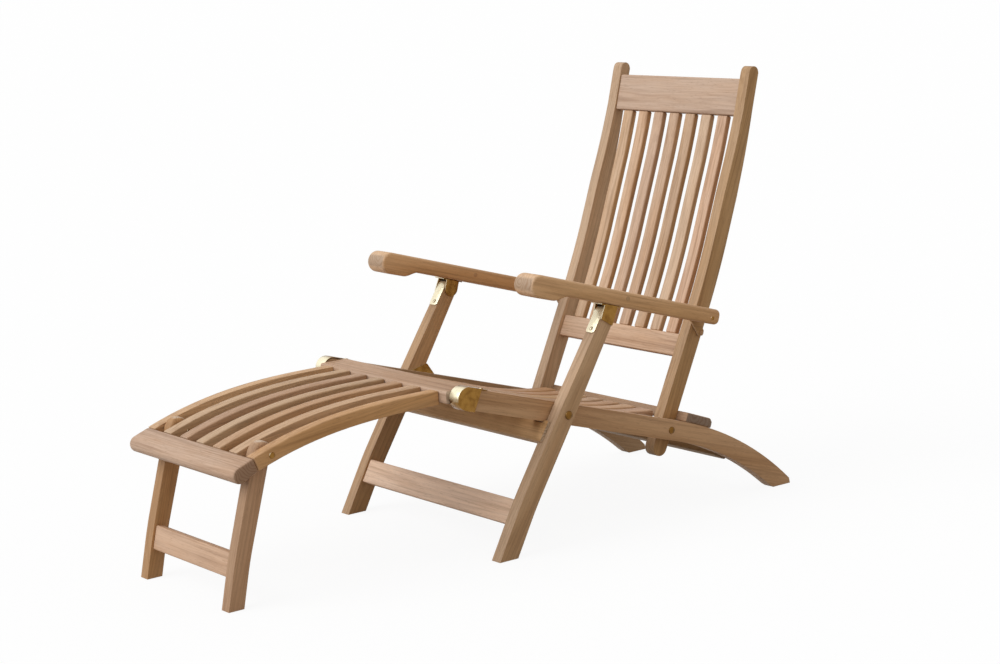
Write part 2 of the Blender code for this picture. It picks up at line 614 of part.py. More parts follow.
# cross rail on top of the seat rails, against the posts' rear edges
post_rear = in_axes(post_heel, POST_RUNS[0][1], 0.0, -(POST_W / 2 + GAP))
stop_front = post_rear
while stop_front[1] < rail_top(stop_front[0]) + GAP:
    stop_front = shifted(stop_front, ray(POST_RUNS[0][1]), 0.1)
stop_up = shifted(stop_front, ray(POST_RUNS[0][1]), STOP_H)
STOP_STEPS = 6
stop_bed = [(y, rail_top(y) + GAP) for y in [stop_front[0] + STOP_W * k / STOP_STEPS for k in range(STOP_STEPS + 1)]]
bed_tilt = math.degrees(math.atan2(stop_bed[-1][1] - stop_bed[0][1], STOP_W))
stop_rear = in_axes(stop_bed[-1], bed_tilt, 0.0, STOP_H)
across('back_stop_rail', stop_bed + [in_axes(stop_rear, bed_tilt, 0.0, -STOP_H / 3),
                                     in_axes(stop_rear, bed_tilt, -STOP_H / 3, 0.0), stop_up], RAIL_OUT)
rear_stretcher_at = (P4[0] + REAR_STRETCHER_FROM_BACK[0], P4[1] + REAR_STRETCHER_FROM_BACK[1])
across('rear_stretcher', block(rear_stretcher_at, REAR_STRETCHER_TILT, REAR_STRETCHER_W, REAR_STRETCHER_T),
       RAIL_IN - GAP)

# front legs' stretchers
upper_at = in_axes(P1, LEG_TILT, -UPPER_STRETCHER_DOWN, UPPER_STRETCHER_FORWARD)
across('leg_stretcher_upper', block(upper_at, LEG_TILT, UPPER_STRETCHER_W, UPPER_STRETCHER_T), LEG_IN - GAP)
lower = at_distance(leg_line, LOWER_STRETCHER_DOWN)
lower_at = in_axes(lower[:2], lower[2] - 180.0, 0.0, LOWER_STRETCHER_FORWARD)
across('leg_stretcher_lower', block(lower_at, lower[2] - 180.0, LOWER_STRETCHER_W, LOWER_STRETCHER_T), LEG_IN - GAP)

# backrest
across('back_top_rail', top_rail_outline, POST_IN - GAP)
across('back_lower_rail', lower_rail_outline, POST_IN - GAP)
slats('back_slat', back_slat_outline, SLAT_COUNT, BACK_SLAT_W, BACK_SLAT_PITCH)

# footrest
across('foot_board', foot_board_outline, FOOT_RAIL_OUT)
bar_low, bar_high = NOSE[1] - HINGE_BAR_LOW, NOSE[1] + HINGE_BAR_TOP
bar_front, bar_back = NOSE[0] - HINGE_BAR_FRONT, NOSE[0] + HINGE_BAR_REAR
bar_outline = []
for centre, start in (((bar_front, bar_low), 180.0), ((bar_back, bar_low), 270.0), ((bar_back, bar_high), 0.0),
                      ((bar_front, bar_high), 90.0)):
    inward = (HINGE_BAR_R if centre[0] == bar_front else -HINGE_BAR_R, HINGE_BAR_R if centre[1] == bar_low else -HINGE_BAR_R)
    bar_outline += arc((centre[0] + inward[0], centre[1] + inward[1]), HINGE_BAR_R, start, start + 90.0, 4)
hinge_bar = across('foot_hinge_bar', bar_outline, RAIL_IN - GAP)
for s in (1, -1):
    cut(hinge_bar, rod('bore_tool', NOSE, HINGE_PIN_R + BORE_PLAY, s * (RAIL_IN - RAIL_T / 2 - BOLT_PAST), s * RAIL_OUT))
for slat, middle in slats('foot_slat', foot_outline, FOOT_SLAT_COUNT, FOOT_SLAT_W, FOOT_SLAT_PITCH):
    if abs(middle) > FOOT_SLAT_PITCH * 1.5:
        bore(slat, P5, FOOT_PIN_R, middle - FOOT_SLAT_W / 2, middle + FOOT_SLAT_W / 2)
foot_cross = at_distance(foot_leg_line, FOOT_STRETCHER_DOWN)
foot_cross_at = in_axes(foot_cross[:2], foot_cross[2] - 180.0, 0.0, FOOT_STRETCHER_FORWARD)
across('foot_stretcher', block(foot_cross_at, foot_cross[2] - 180.0, FOOT_STRETCHER_W, FOOT_STRETCHER_T),
       FOOT_LEG_IN - GAP)

# materials, shading, and one empty on each joint's axis that carries the moving pieces
AXES = {
    'legs_axis': (P1, ('front_leg', 'leg_stretcher', 'leg_strap')),
    'back_axis': (P4, ('back_post', 'back_top', 'back_lower', 'back_slat', 'arm_bolt')),
    'arms_axis': (P2, ('arm_left', 'arm_right', 'arm_bracket', 'arm_plate')),
    'footrest_axis': (NOSE, ('foot_rail', 'foot_board', 'foot_hinge', 'foot_slat', 'foot_pin')),
    'foot_legs_axis': (P5, ('foot_leg', 'foot_stretcher')),
}
SMOOTH_UNDER = math.radians(30.0)
pieces = list(bpy.data.objects)
for ob in pieces:
    ob.data.materials.clear()
    ob.data.materials.append(BRASS if ob.name.startswith(BRASS_NODES) else TEAK)
    ob.data.shade_smooth()
    ob.data.set_sharp_from_angle(angle=SMOOTH_UNDER)
for axis_name, (centre, prefixes) in AXES.items():
    pivot = bpy.data.objects.new(axis_name, None)
    pivot.location = world(0.0, centre)
    bpy.context.scene.collection.objects.link(pivot)
    bpy.context.view_layer.update()
    print(axis_name, tuple(round(v, 5) for v in pivot.location))
    for ob in pieces:
        if ob.name.startswith(prefixes):
            ob.parent = pivot
            ob.matrix_parent_inverse = pivot.matrix_world.inverted()
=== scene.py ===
# %% [markdown]
# # A folding deck chair in oiled teak and brass
#
# The chair is a wooden frame of sawn curves: two long seat rails with sabre feet, crossed front legs, a
# bowed slatted back, scrolled arms and a footrest on its own small legs. The joints are brass. This lesson
# takes the measured frame, softens every wooden edge as a joiner's sandpaper does, gives the wood a grain
# that runs along each stick, dresses the brass, and adds the small screws and plugs.

# %% Load the measured frame
import json
import math
import random

import bpy
from mathutils import Matrix, Vector


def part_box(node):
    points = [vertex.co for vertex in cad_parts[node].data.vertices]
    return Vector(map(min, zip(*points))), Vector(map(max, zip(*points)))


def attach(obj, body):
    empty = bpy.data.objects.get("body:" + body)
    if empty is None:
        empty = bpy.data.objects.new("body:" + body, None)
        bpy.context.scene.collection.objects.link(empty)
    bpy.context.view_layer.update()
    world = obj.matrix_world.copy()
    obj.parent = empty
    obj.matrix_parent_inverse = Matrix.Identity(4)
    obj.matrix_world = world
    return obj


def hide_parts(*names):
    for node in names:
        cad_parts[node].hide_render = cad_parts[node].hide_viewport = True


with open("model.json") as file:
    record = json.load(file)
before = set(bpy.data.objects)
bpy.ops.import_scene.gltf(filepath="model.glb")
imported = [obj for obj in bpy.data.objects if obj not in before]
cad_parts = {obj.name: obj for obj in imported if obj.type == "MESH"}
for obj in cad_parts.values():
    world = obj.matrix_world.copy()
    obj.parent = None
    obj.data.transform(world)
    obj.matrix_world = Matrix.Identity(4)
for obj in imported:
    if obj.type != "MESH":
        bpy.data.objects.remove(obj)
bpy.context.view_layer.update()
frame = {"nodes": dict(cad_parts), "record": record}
bodies = frame["record"]["behaviour"]["bodies"]
body_of = {name: body for body, names in bodies.items() for name in names}
pivot = {joint["name"]: Vector(joint["pos_m"]) for joint in frame["record"]["behaviour"]["joints"]}

# %% [markdown]
# ## Camera
#
# The picture was taken with a long lens from the front and left of the sitter, a little above the arms.
# Setting the camera first means every later render can be laid beside the photograph. The camera is placed
# by its azimuth, its height angle and a small roll, because those are what one can estimate from a picture.

# %% Camera
CAMERA_AZIMUTH, CAMERA_HEIGHT, CAMERA_ROLL = 54.2447, 10.3579, -3.4679
CAMERA_AT = (4.0842, -2.8243, 1.3263)
CAMERA_LENS, SENSOR_WIDTH = 84.995, 36.0


def camera_turn(azimuth, height, roll):
    a, h, r = (math.radians(v) for v in (azimuth, height, roll))
    right = Vector((math.cos(a), math.sin(a), 0.0))
    ahead = Vector((-math.sin(a) * math.cos(h), math.cos(a) * math.cos(h), -math.sin(h)))
    up = right.cross(ahead)
    right, up = right * math.cos(r) + up * math.sin(r), up * math.cos(r) - right * math.sin(r)
    return Matrix((right, up, -ahead)).transposed().to_euler()


bpy.ops.object.select_all(action='DESELECT')
bpy.ops.object.camera_add(location=CAMERA_AT, rotation=camera_turn(CAMERA_AZIMUTH, CAMERA_HEIGHT, CAMERA_ROLL))
camera = bpy.context.active_object
camera.data.sensor_fit = 'HORIZONTAL'
camera.data.sensor_width = SENSOR_WIDTH
camera.data.lens = CAMERA_LENS
bpy.context.scene.camera = camera
print("camera lens", round(camera.data.lens, 1), "mm")

# %% [markdown]
# ## Small helpers for node trees
#
# A light or a material made of nodes is a long chain of small sums. These helpers add one sum at a time, so
# that a finish further down reads like a recipe: keep the larger of two values, mix two colours, let a
# value through only between two limits.


# %% Small helpers for node trees
def node(tree, kind, **values):
    made = tree.nodes.new(kind)
    for key, value in values.items():
        setattr(made, key, value)
    return made


def sum_of(tree, operation, a, b=None, clamp=False):
    made = node(tree, 'ShaderNodeMath', operation=operation, use_clamp=clamp)
    for k, value in enumerate((a, b)):
        if value is None:
            continue
        if isinstance(value, (int, float)):
            made.inputs[k].default_value = value
        else:
            tree.links.new(value, made.inputs[k])
    return made.outputs[0]


def colour_mix(tree, factor, a, b):
    made = node(tree, 'ShaderNodeMix', data_type='RGBA')
    for socket, value in ((made.inputs[0], factor), (made.inputs[6], a), (made.inputs[7], b)):
        if isinstance(value, tuple):
            socket.default_value = (*value, 1.0)
        else:
            tree.links.new(value, socket)
    return made.outputs[2]


def between(tree, value, low, high, out_low=0.0, out_high=1.0):
    made = node(tree, 'ShaderNodeMapRange', interpolation_type='SMOOTHSTEP')
    for socket, number in (('From Min', low), ('From Max', high), ('To Min', out_low), ('To Max', out_high)):
        made.inputs[socket].default_value = number
    tree.links.new(value, made.inputs['Value'])
    return made.outputs['Result']


print("helpers: node, sum_of, colour_mix, between")

# %% [markdown]
# ## Soft box
#
# The light in the picture comes from in front of the chair: the front faces are pale, the long side faces
# are clearly darker. A photographer would hang a big soft box there. A sun lamp with a wide spread gives
# the same soft edge to the shadows, and it lights both ends of the chair alike.

# %% Soft box
BOX_STRENGTH = 1.9
BOX_SPREAD = math.radians(50)
BOX_AIM = Vector((0.22, 0.80, -0.60))
bpy.context.scene.view_settings.view_transform = 'Standard'
bpy.ops.object.select_all(action='DESELECT')
bpy.ops.object.light_add(type='SUN')
soft_box = bpy.context.active_object
soft_box.name = "soft_box_front"
soft_box.data.energy = BOX_STRENGTH
soft_box.data.angle = BOX_SPREAD
soft_box.rotation_euler = BOX_AIM.to_track_quat('-Z', 'Y').to_euler()
print("light:", soft_box.name, BOX_STRENGTH)

# %% [markdown]
# ## Fill light
#
# The white walls of a studio fill the shadows. The world does that here, at a modest strength, so that the
# undersides stay dark. To the eye, and in the brass, it shows as plain white: the kind of ray decides which
# of the two is met.

# %% Fill light
FILL_STRENGTH, WHITE_STRENGTH = 0.60, 1.0
WHITE = (1.0, 1.0, 1.0, 1.0)


def in_view(tree):
    """One for a ray from the eye, straight or by way of metal or glass, and zero for any other."""
    ray = node(tree, 'ShaderNodeLightPath')
    seen = sum_of(tree, 'MAXIMUM', ray.outputs['Is Camera Ray'], ray.outputs['Is Glossy Ray'])
    return sum_of(tree, 'MAXIMUM', seen, ray.outputs['Is Transmission Ray'])


world = bpy.data.worlds.new("studio")
bpy.context.scene.world = world
world.use_nodes = True
sky = world.node_tree
sky.nodes.clear()
fill_or_white = node(sky, 'ShaderNodeMixShader')
sky.links.new(in_view(sky), fill_or_white.inputs['Fac'])
for socket, strength in ((1, FILL_STRENGTH), (2, WHITE_STRENGTH)):
    glow = node(sky, 'ShaderNodeBackground')
    glow.inputs['Color'].default_value = WHITE
    glow.inputs['Strength'].default_value = strength
    sky.links.new(glow.outputs[0], fill_or_white.inputs[socket])
sky_out = node(sky, 'ShaderNodeOutputWorld')
sky.links.new(fill_or_white.outputs[0], sky_out.inputs['Surface'])
print("world:", world.name, FILL_STRENGTH)

# %% [markdown]
# ## Floor
#
# The chair stands on a white sweep that shows hardly any shadow. A plain white paper would turn grey
# wherever the light falls off. So the paper is mostly seen as pure white, with a small share of its real
# shading left in, and that share keeps a soft shadow under the feet. The light that it throws back on the
# wood is greyer, so that the undersides stay dark.

# %% Floor
PAPER_SIZE, PAPER_DROP = 80.0, 0.0004
PAPER_WHITENESS, PAPER_ROUGHNESS = 0.91, 0.9
PAPER_TO_CHAIR, PAPER_TO_EYE = (0.32, 0.29, 0.26), (0.95, 0.95, 0.95)
bpy.ops.object.select_all(action='DESELECT')
bpy.ops.mesh.primitive_plane_add(size=PAPER_SIZE, location=(0, 0, -PAPER_DROP))
floor = bpy.context.active_object
floor.name = "floor"
bpy.ops.object.transform_apply(location=True, rotation=True, scale=True)
paper = bpy.data.materials.new("white_sweep")
paper.use_nodes = True
paper_tree = paper.node_tree
lit_paper = paper_tree.nodes['Principled BSDF']
lit_paper.inputs['Roughness'].default_value = PAPER_ROUGHNESS
seen = in_view(paper_tree)
paper_colour = colour_mix(paper_tree, seen, PAPER_TO_CHAIR, PAPER_TO_EYE)
paper_tree.links.new(paper_colour, lit_paper.inputs['Base Color'])
pure_white = node(paper_tree, 'ShaderNodeEmission')
mix_paper = node(paper_tree, 'ShaderNodeMixShader')
paper_tree.links.new(sum_of(paper_tree, 'MULTIPLY', seen, PAPER_WHITENESS), mix_paper.inputs['Fac'])
paper_tree.links.new(lit_paper.outputs[0], mix_paper.inputs[1])
paper_tree.links.new(pure_white.outputs[0], mix_paper.inputs[2])
paper_tree.links.new(mix_paper.outputs[0], paper_tree.nodes['Material Output'].inputs['Surface'])
floor.data.materials.append(paper)
print("floor:", floor.name, PAPER_SIZE, "m wide")

# %% [markdown]
# ## Noise and relief
#
# Both finishes need two more tools. Wood fibres and scratches are a noise pulled out along one direction,
# which is far quicker than drawing each line. A bump then lets the light catch on them, as it does on a
# surface that a finger can feel but the eye can't measure.


# %% Noise and relief
def drawn_noise(tree, vector, along, across, detail, rough=0.5):
    """Noise pulled out along the first axis: so many waves in a metre along it and across it."""
    stretch = node(tree, 'ShaderNodeVectorMath', operation='MULTIPLY')
    stretch.inputs[1].default_value = (along, across, across)
    tree.links.new(vector, stretch.inputs[0])
    made = node(tree, 'ShaderNodeTexNoise')
    made.inputs['Scale'].default_value = 1.0
    made.inputs['Detail'].default_value = detail
    made.inputs['Roughness'].default_value = rough
    tree.links.new(stretch.outputs[0], made.inputs['Vector'])
    return made.outputs['Fac']


def raise_relief(tree, shader, height, strength, distance):
    relief = node(tree, 'ShaderNodeBump')
    relief.inputs['Strength'].default_value = strength
    relief.inputs['Distance'].default_value = distance
    tree.links.new(height, relief.inputs['Height'])
    tree.links.new(relief.outputs['Normal'], shader.inputs['Normal'])


print("helpers: drawn_noise, raise_relief")

# %% [markdown]
# ## Growth rings
#
# Oiled teak shows dark lines along the stick, and on its ends the rings that those lines belong to. One
# could paint this on an image, but a pattern worked out in space never stretches, and it lets the rings on
# the end of a stick meet the lines on its sides. So the rings are cylinders about a heart line that runs
# along the stick.

# %% Growth rings
RING_WANDER = 0.045


def grain_frame(tree, coords, grain, heart):
    """Coordinates whose first axis runs along the grain and whose origin is on the heart line."""
    turn = Vector(grain).normalized().rotation_difference(Vector((1, 0, 0)))
    place = node(tree, 'ShaderNodeMapping')
    place.inputs['Rotation'].default_value = turn.to_euler()
    place.inputs['Location'].default_value = -(turn @ Vector(heart))
    tree.links.new(coords.outputs['Object'], place.inputs['Vector'])
    return place.outputs['Vector']


def growth_rings(tree, grain_space, per_metre):
    """Late wood as dark bands on cylinders about the heart line, made to wander a little."""
    wander = drawn_noise(tree, grain_space, along=1.8, across=20.0, detail=2.0)
    split = node(tree, 'ShaderNodeSeparateXYZ')
    tree.links.new(grain_space, split.inputs[0])
    squares = [sum_of(tree, 'MULTIPLY', split.outputs[axis], split.outputs[axis]) for axis in ('Y', 'Z')]
    radius = sum_of(tree, 'SQRT', sum_of(tree, 'ADD', squares[0], squares[1]))
    radius = sum_of(tree, 'ADD', radius, sum_of(tree, 'MULTIPLY', wander, RING_WANDER))
    wave = sum_of(tree, 'SINE', sum_of(tree, 'MULTIPLY', radius, per_metre * 2 * math.pi))
    return between(tree, wave, -0.2, 1.0)


print("helpers: grain_frame, growth_rings")

# %% [markdown]
# ## Painted light and sun bleach on teak
#
# Faces that look towards the front lamp are painted paler and pinker, fronts most and tops less, in
# blotches like sun bleach, while the sides keep their brown oil: painted light on top of the lamp's own.
# End grain drinks more oil and greys. Both depend only on which way a face of the stick looks, so the
# face's own direction, compared with up, with the front and with the grain, decides how much of each it
# gets.

# %% Painted light and sun bleach on teak
LIT_ON_TOP, LIT_ON_FRONT = 0.42, 0.80


def lit_and_bleach_share(tree, coords, grain_space, lit_amount):
    """Painted light, blotched like sun bleach: fronts most, tops less, sides and undersides not at all."""
    facing = node(tree, 'ShaderNodeSeparateXYZ')
    tree.links.new(coords.outputs['Normal'], facing.inputs[0])
    up = sum_of(tree, 'MAXIMUM', facing.outputs['Z'], 0.0)
    front = sum_of(tree, 'MAXIMUM', sum_of(tree, 'MULTIPLY', facing.outputs['Y'], -1.0), 0.0)
    # Painted light: faces towards the front lamp are painted paler, fronts more than tops.
    on_top = sum_of(tree, 'MULTIPLY', up, LIT_ON_TOP * lit_amount)
    on_front = sum_of(tree, 'MULTIPLY', front, LIT_ON_FRONT * lit_amount)
    blotch = drawn_noise(tree, grain_space, along=5.0, across=34.0, detail=4.0, rough=0.6)
    kept = between(tree, blotch, 0.30, 0.62, 0.70, 1.0)
    return sum_of(tree, 'MULTIPLY', sum_of(tree, 'ADD', on_top, on_front, clamp=True), kept)


def end_share(tree, coords, grain):
    """One where a face looks along the grain, and so shows the end of the stick."""
    end_on = node(tree, 'ShaderNodeVectorMath', operation='DOT_PRODUCT')
    end_on.inputs[1].default_value = Vector(grain).normalized()
    tree.links.new(coords.outputs['Normal'], end_on.inputs[0])
    return between(tree, sum_of(tree, 'ABSOLUTE', end_on.outputs['Value']), 0.72, 0.94)


print("helpers: lit_and_bleach_share, end_share")

# %% [markdown]
# ## Teak
#
# The wood is a warm tan whose tone changes slowly along the board. Over it lies painted light: a paler
# colour on the faces that look towards the front lamp, in blotches like sun bleach. Then come the dark
# rings, streaks and fibres, then the end grain, and last the short open pores. Each layer lets a share of
# the darkest brown through, as oil does where it has soaked in. The seed gives each board its own tone, as
# no two come from one tree.

# %% Teak
PALE_TEAK, WARM_TEAK, DARK_TEAK = (0.620, 0.375, 0.195), (0.490, 0.268, 0.120), (0.190, 0.090, 0.038)
# Painted light: the next three are the paler colours painted on faces that look towards the front lamp.
LIT_PINK_TEAK, LIT_TAN_TEAK, LIT_BROWN_TEAK = (0.615, 0.452, 0.325), (0.490, 0.330, 0.212), (0.350, 0.215, 0.118)
END_TEAK, GREY_END, PALE_END = (0.360, 0.235, 0.145), (0.330, 0.240, 0.172), (0.600, 0.470, 0.345)
RING_SHARE_OF_END, END_STRENGTH = 0.45, 0.85
STREAK_SHARE, FIBRE_SHARE, PORE_SHARE = 0.40, 0.22, 0.40
TEAK_SHEEN, PORE_DEPTH, TEAK_RELIEF, TEAK_DEPTH = 0.28, 0.8, 0.30, 0.0006


def darken(tree, colour, mask, share):
    """Let a share of the darkest brown through where the mask is one."""
    return colour_mix(tree, sum_of(tree, 'MULTIPLY', mask, share), colour, DARK_TEAK)


def teak(name, grain, heart, seed, end_colour=END_TEAK, lit_amount=1.0, board_tone_and_shade=1.0, lit_colour=LIT_PINK_TEAK):
    """Teak whose grain runs along one direction; the seed sets the tone of the board."""
    dice = random.Random(seed)
    mat = bpy.data.materials.new(name)
    mat.use_nodes = True
    tree = mat.node_tree
    shader = tree.nodes['Principled BSDF']
    coords = node(tree, 'ShaderNodeTexCoord')
    grain_space = grain_frame(tree, coords, grain, heart)
    late_wood = growth_rings(tree, grain_space, dice.uniform(110, 170))
    tone = drawn_noise(tree, grain_space, along=1.6, across=17.0, detail=3.0)
    streak = drawn_noise(tree, grain_space, along=3.0, across=120.0, detail=4.0, rough=0.6)
    fibre = drawn_noise(tree, grain_space, along=9.0, across=420.0, detail=5.0, rough=0.6)
    pores = between(tree, drawn_noise(tree, grain_space, along=55.0, across=950.0, detail=2.0), 0.60, 0.72)

    colour = colour_mix(tree, between(tree, tone, 0.32, 0.68), WARM_TEAK, PALE_TEAK)
    # Painted light: the lit colour is mixed in on faces that look towards the front lamp.
    colour = colour_mix(tree, lit_and_bleach_share(tree, coords, grain_space, lit_amount), colour, lit_colour)
    colour = darken(tree, colour, late_wood, between(tree, tone, 0.25, 0.75, 0.22, 0.05))
    colour = darken(tree, colour, between(tree, streak, 0.47, 0.74), STREAK_SHARE)
    colour = darken(tree, colour, between(tree, fibre, 0.42, 0.72), FIBRE_SHARE)
    ringed_end = darken(tree, end_colour, late_wood, RING_SHARE_OF_END)
    end_grain = sum_of(tree, 'MULTIPLY', end_share(tree, coords, grain), END_STRENGTH)
    colour = darken(tree, colour_mix(tree, end_grain, colour, ringed_end), pores, PORE_SHARE)

    board = node(tree, 'ShaderNodeHueSaturation')
    # The board's tone times the table's value; for the far seat rail and the rear stretcher that holds painted
    # shade.
    board.inputs['Value'].default_value = dice.uniform(0.84, 1.08) * board_tone_and_shade
    board.inputs['Saturation'].default_value = dice.uniform(0.90, 1.10)
    board.inputs['Hue'].default_value = dice.uniform(0.493, 0.504)
    tree.links.new(colour, board.inputs['Color'])
    tree.links.new(board.outputs['Color'], shader.inputs['Base Color'])
    tree.links.new(between(tree, fibre, 0.2, 0.8, 0.50, 0.72), shader.inputs['Roughness'])
    shader.inputs['Specular IOR Level'].default_value = TEAK_SHEEN
    height = sum_of(tree, 'SUBTRACT', fibre, sum_of(tree, 'MULTIPLY', pores, PORE_DEPTH))
    raise_relief(tree, shader, height, TEAK_RELIEF, TEAK_DEPTH)
    return mat


print("teak is ready to be sawn")

# %% [markdown]
# ## Brass
#
# The fittings are bare brass. Faces that look towards the front lamp and up get a painted highlight: a pale
# colour and less metal. The other faces, the cheeks on the sides among them, are painted a dark brown gold
# that stands in for dark reflections, with darker tarnish blooms. A metal shader with a slow change of
# colour and roughness tells that story better than one flat gold, and the way a face looks decides how much
# painted highlight it gets.

# %% Brass
HIGHLIGHT_BRASS, DARK_SIDE_BRASS, BROWN_BRASS = (0.940, 0.860, 0.620), (0.278, 0.142, 0.033), (0.183, 0.085, 0.018)
BOLT_BRASS, DARK_BRASS = (0.300, 0.180, 0.057), (0.108, 0.055, 0.015)
# Painted highlight: faces that look this way, towards the front lamp and up, are painted bright.
HIGHLIGHT_FACING = (0.0, -0.75, 0.66)
SCRATCH_DEPTH, BRASS_RELIEF, BRASS_DEPTH = 0.3, 0.15, 0.0003


def brass(name, seed, highlight, off_highlight, browned):
    dice = random.Random(seed)
    mat = bpy.data.materials.new(name)
    mat.use_nodes = True
    tree = mat.node_tree
    shader = tree.nodes['Principled BSDF']
    coords = node(tree, 'ShaderNodeTexCoord')
    place = node(tree, 'ShaderNodeMapping')
    place.inputs['Location'].default_value = [dice.uniform(-2, 2) for _ in range(3)]
    tree.links.new(coords.outputs['Object'], place.inputs['Vector'])
    cloud = drawn_noise(tree, place.outputs['Vector'], along=75.0, across=75.0, detail=4.0)
    scratch = drawn_noise(tree, place.outputs['Vector'], along=250.0, across=2200.0, detail=3.0, rough=0.6)
    reached = node(tree, 'ShaderNodeVectorMath', operation='DOT_PRODUCT')
    reached.inputs[1].default_value = HIGHLIGHT_FACING
    tree.links.new(coords.outputs['Normal'], reached.inputs[0])
    # Painted highlight: bright colour and less metal on faces turned towards the lamp.
    painted_highlight = between(tree, reached.outputs['Value'], 0.55, 0.98)
    # Off the highlight: a dark colour painted as dark reflection, with tarnish blooms from the cloud.
    off_highlight_colour = colour_mix(tree, between(tree, cloud, 0.38, 0.75), off_highlight, browned)
    tree.links.new(colour_mix(tree, painted_highlight, off_highlight_colour, highlight), shader.inputs['Base Color'])
    tree.links.new(between(tree, painted_highlight, 0.0, 1.0, 1.0, 0.45), shader.inputs['Metallic'])
    tree.links.new(between(tree, cloud, 0.3, 0.8, 0.22, 0.42), shader.inputs['Roughness'])
    height = sum_of(tree, 'ADD', cloud, sum_of(tree, 'MULTIPLY', scratch, SCRATCH_DEPTH))
    raise_relief(tree, shader, height, BRASS_RELIEF, BRASS_DEPTH)
    return mat


fitting_brass = brass("brass_painted_highlight", 4, HIGHLIGHT_BRASS, DARK_SIDE_BRASS, BROWN_BRASS)
bolt_brass = brass("brass_bolts", 9, BOLT_BRASS, BROWN_BRASS, DARK_BRASS)
print("brass:", fitting_brass.name, bolt_brass.name)

# %% [markdown]
# ## A copy to work on
#
# The measured pieces stay as they are, like a drawing pinned to the wall. Each one is copied, and the
# copy's triangles are merged back into flat faces, because a bevel runs cleanly along a whole face and
# stumbles over triangles. When a copy is finished, it takes its material, stands in for the measured piece
# and rides on the same moving body.

# %% A copy to work on
MERGE_WITHIN, FLAT_WITHIN = 0.00001, math.radians(0.6)


def copy_of(name):
    bpy.ops.object.select_all(action='DESELECT')
    source = frame["nodes"][name]
    source.select_set(True)
    bpy.context.view_layer.objects.active = source
    bpy.ops.object.duplicate()
    piece = bpy.context.active_object
    for key in list(piece.keys()):
        del piece[key]
    piece.parent = None
    piece.name = name + "_finished"
    piece.data.name = piece.name
    piece.data.materials.clear()
    bpy.ops.object.mode_set(mode='EDIT')
    bpy.ops.mesh.select_all(action='SELECT')
    bpy.ops.mesh.remove_doubles(threshold=MERGE_WITHIN)
    bpy.ops.mesh.dissolve_limited(angle_limit=FLAT_WITHIN)
    bpy.ops.object.mode_set(mode='OBJECT')
    return piece


def stand_for(piece, name, material):
    piece.data.materials.append(material)
    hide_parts(name)
    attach(piece, body_of[name])


print("helpers: copy_of, stand_for")

# %% [markdown]
# ## Choosing edges and faces in code
#
# By hand one clicks on an edge; here it is chosen by where it is and which way it runs. One helper clears
# the selection, marks what a test accepts and leaves the piece in edit mode, ready for the next tool.


# %% Choosing edges and faces in code
def pick_faces(piece, test):
    bpy.ops.object.mode_set(mode='EDIT')
    bpy.ops.mesh.select_mode(type='FACE')
    bpy.ops.mesh.select_all(action='DESELECT')
    bpy.ops.object.mode_set(mode='OBJECT')
    for face in piece.data.polygons:
        face.select = test(face.center, face.normal)
    bpy.ops.object.mode_set(mode='EDIT')


def pick_edges(piece, test):
    bpy.ops.object.mode_set(mode='EDIT')
    bpy.ops.mesh.select_mode(type='EDGE')
    bpy.ops.mesh.select_all(action='DESELECT')
    bpy.ops.object.mode_set(mode='OBJECT')
    points = piece.data.vertices
    for edge in piece.data.edges:
        a, b = (points[k].co for k in edge.vertices)
        edge.select = a != b and test((a + b) / 2, (b - a).normalized())
    bpy.ops.object.mode_set(mode='EDIT')


print("helpers: pick_faces, pick_edges")

# %% [markdown]
# ## Softening the edges
#
# A joiner takes the sharp arris off every stick before oiling it, and that thin rounded edge is what
# catches the light. The frame's sticks are the right size but razor sharp. A narrow bevel goes on the sharp
# edges only, so the long sawn curves stay as they are. Where a hand meets the wood, at a knob or a post's
# top, a broader round is worked first. The rims of bolt holes stay sharp, because the bolt fills them.

# %% Softening the edges
SHARP_FROM, SMOOTH_TO = math.radians(36), math.radians(40)
BOLT_HOLE = 0.0059
arm_bolt_at = pivot["arm_left_fold"] + pivot["backrest_fold"] - pivot["front_legs_fold"]
bolts = [*pivot.values(), arm_bolt_at]


def round_edges(piece, test, radius, steps, clamp=True):
    """A broad round worked on chosen edges."""
    pick_edges(piece, test)
    bpy.ops.mesh.bevel(offset=radius, segments=steps, affect='EDGES', clamp_overlap=clamp)
    bpy.ops.object.mode_set(mode='OBJECT')


def near_a_bolt(p):
    return any((p - at).yz.length < BOLT_HOLE for at in bolts)


def ease_edges(piece, radius, steps=3, leave=None):
    """A narrow round on every edge that is still sharp, apart from those to be left."""
    bpy.ops.object.mode_set(mode='EDIT')
    bpy.ops.mesh.select_mode(type='EDGE')
    bpy.ops.mesh.select_all(action='DESELECT')
    bpy.ops.mesh.edges_select_sharp(sharpness=SHARP_FROM)
    bpy.ops.object.mode_set(mode='OBJECT')
    points = piece.data.vertices
    for edge in piece.data.edges:
        a, b = (points[k].co for k in edge.vertices)
        if edge.select and leave and leave((a + b) / 2, (b - a).normalized()):
            edge.select = False
    bpy.ops.object.mode_set(mode='EDIT')
    bpy.ops.mesh.bevel(offset=radius, segments=steps, affect='EDGES', clamp_overlap=True)
    bpy.ops.object.mode_set(mode='OBJECT')
    bpy.ops.object.shade_smooth_by_angle(angle=SMOOTH_TO)


print("helpers: round_edges, near_a_bolt, ease_edges")

# %% [markdown]
# ## Paring and building up
#
# A few pieces differ from the frame by a sliver: a corner is pared off, or a face stands a little proud. A
# bisecting plane does the work of a chisel, and it closes the cut behind it. Pulling a face out does the
# opposite, and keeps the piece one closed body.


